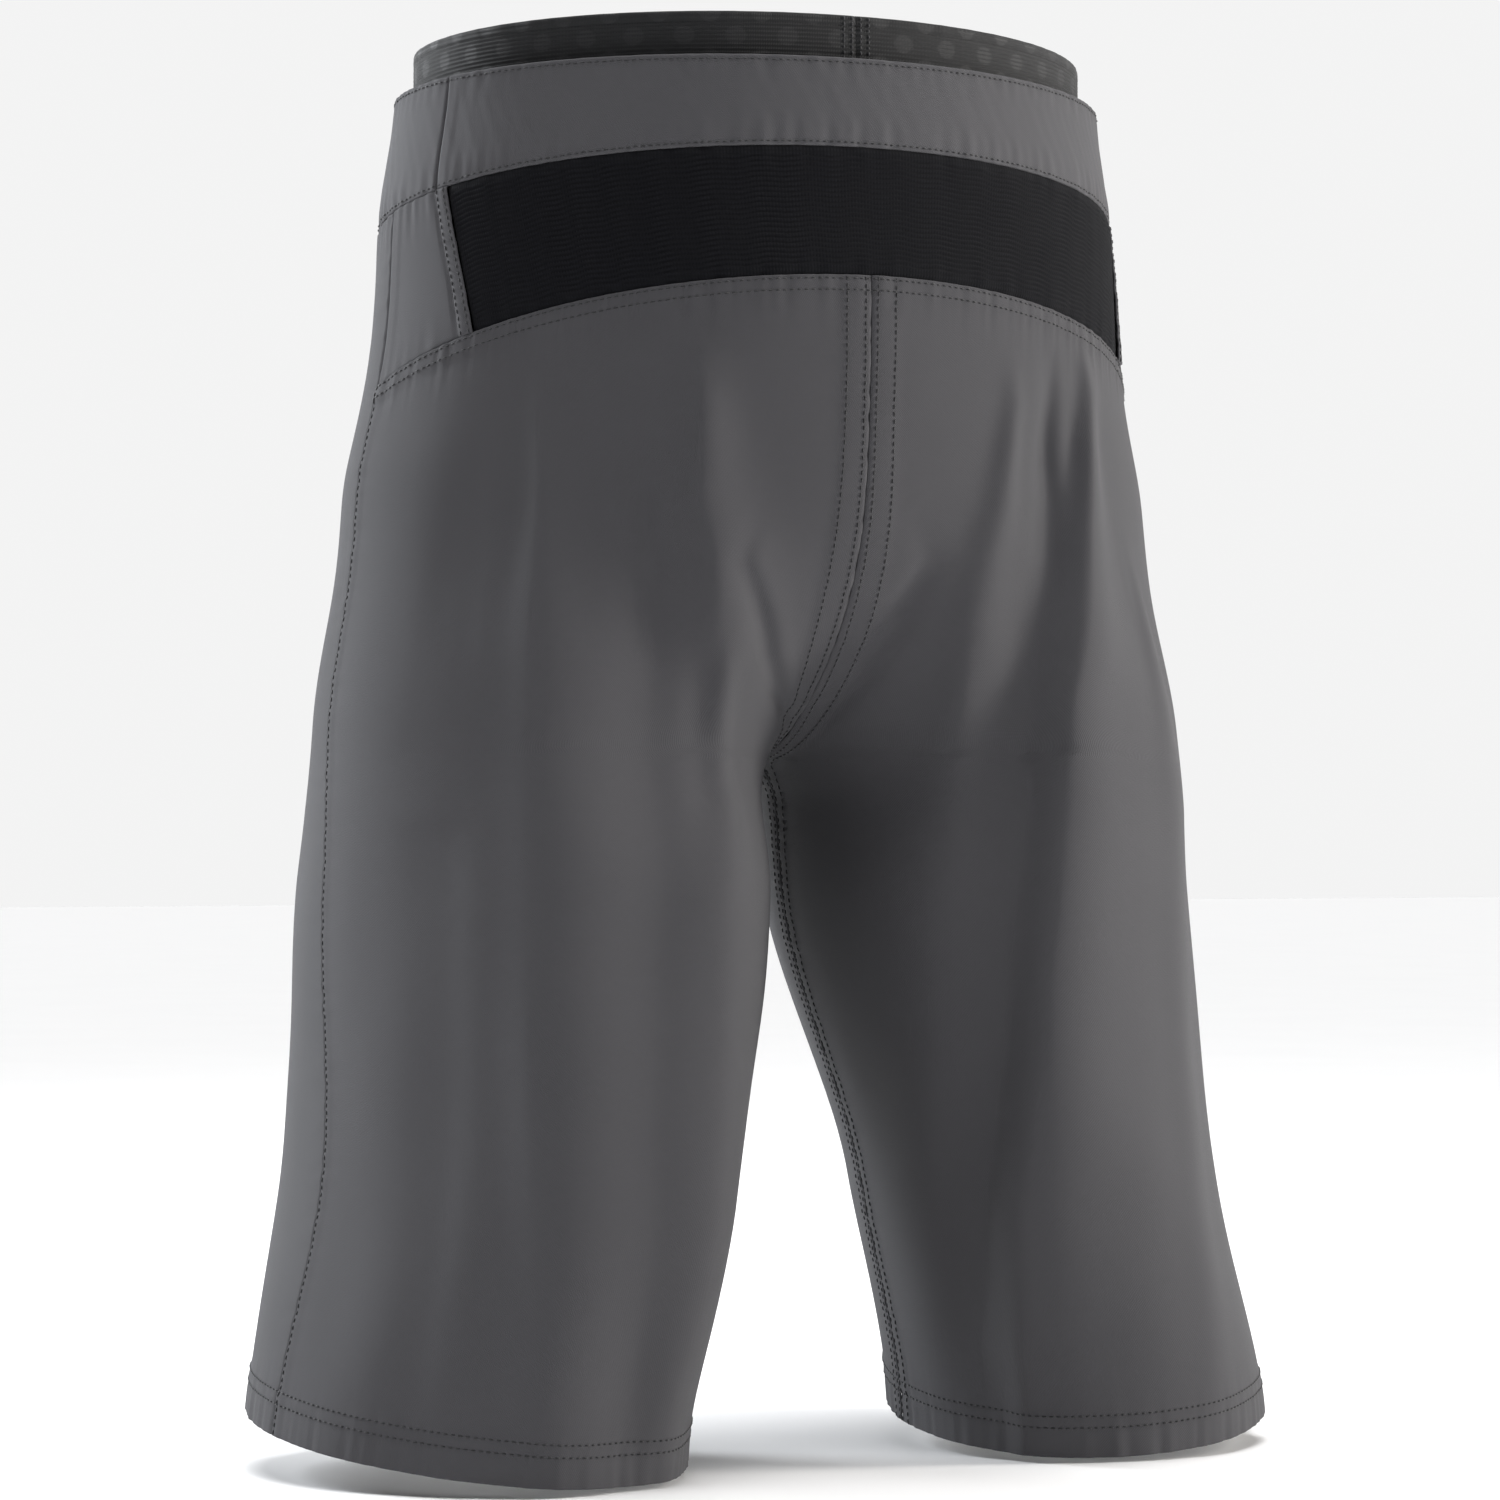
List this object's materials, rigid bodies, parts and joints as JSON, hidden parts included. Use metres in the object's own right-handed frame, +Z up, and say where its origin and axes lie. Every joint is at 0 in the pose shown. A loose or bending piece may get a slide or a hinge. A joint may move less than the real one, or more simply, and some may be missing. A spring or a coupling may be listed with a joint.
{
  "type": "padded impact shorts",
  "caption": "Knee-length outer short with a ribbed stretch back yoke, zip fly and snap waist tab, worn over a lift-out padded liner with hip, thigh, seat and tailbone impact pads.",
  "frame": {"origin": "centre of the outer waist opening", "axes": "+Z up out of the waist, +Y to the wearer's back, +X to the wearer's left"},
  "size_m": [0.446, 0.2339, 0.5857],
  "materials": {
    "shell_cloth": "matt woven stretch cloth",
    "waistband_cloth": "matt woven cloth, doubled",
    "stretch_rib": "fine horizontally ribbed stretch cloth",
    "liner_elastic": "woven elastic",
    "liner_mesh": "open knit mesh",
    "gripper": "elastic with silicone lines",
    "impact_foam": "soft moulded foam under knit",
    "chamois": "brushed knit over foam",
    "zip_tape": "woven tape",
    "zip_plastic": "moulded teeth",
    "dark_metal": "satin gunmetal",
    "pocket_lining": "light mesh lining"
  },
  "bodies": {
    "outer_short": {"back_panel_left": "shell_cloth", "back_panel_right": "shell_cloth", "back_stretch_panel": "stretch_rib", "fly_guard": "shell_cloth", "fly_stops": "zip_plastic", "fly_tape_left": "zip_tape", "fly_tape_right": "zip_tape", "fly_teeth_left": "zip_plastic", "fly_teeth_right": "zip_plastic", "front_panel_left": "shell_cloth", "front_panel_right": "shell_cloth", "pocket_bag_left": "pocket_lining", "pocket_bag_right": "pocket_lining", "pocket_welt_left": "shell_cloth", "pocket_welt_right": "shell_cloth", "side_yoke_left": "shell_cloth", "side_yoke_right": "shell_cloth", "snap_posts": "dark_metal", "snap_studs": "dark_metal", "waist_tab_base": "waistband_cloth", "waistband_back": "waistband_cloth", "waistband_front_left": "waistband_cloth", "waistband_front_right": "waistband_cloth"},
    "waist_tab": {"waist_tab": "waistband_cloth", "snap_caps": "dark_metal", "snap_sockets": "dark_metal"},
    "fly_slider": {"fly_slider": "dark_metal"},
    "fly_pull": {"fly_pull": "dark_metal"},
    "liner": {"chamois": "chamois", "hip_pad_left": "impact_foam", "hip_pad_right": "impact_foam", "liner_back_left": "liner_mesh", "liner_back_right": "liner_mesh", "liner_front_left": "liner_mesh", "liner_front_right": "liner_mesh", "liner_gripper_left": "gripper", "liner_gripper_right": "gripper", "liner_waistband": "liner_elastic", "seat_pad_left": "impact_foam", "seat_pad_right": "impact_foam", "tailbone_pad": "impact_foam", "thigh_pad_left": "impact_foam", "thigh_pad_right": "impact_foam"}
  },
  "joints": [
    {"name": "waist_tab_fold", "type": "hinge", "parent": "outer_short", "child": "waist_tab", "pos_m": [0.01523, -0.10315, -0.06933], "axis": [0, 0.0712, 0.9975], "range_deg": [0, 100]},
    {"name": "fly_slide", "type": "slide", "parent": "outer_short", "child": "fly_slider", "axis": [0, -0.0685, -0.9976], "range_m": [0, 0.075]},
    {"name": "fly_pull_swing", "type": "hinge", "parent": "fly_slider", "child": "fly_pull", "pos_m": [0, -0.10086, -0.07857], "axis": [-1, 0, 0], "range_deg": [0, 95]},
    {"name": "liner_lift", "type": "slide", "parent": "outer_short", "child": "liner", "axis": [0, 0, 1], "range_m": [0, 0.02]}
  ]
}
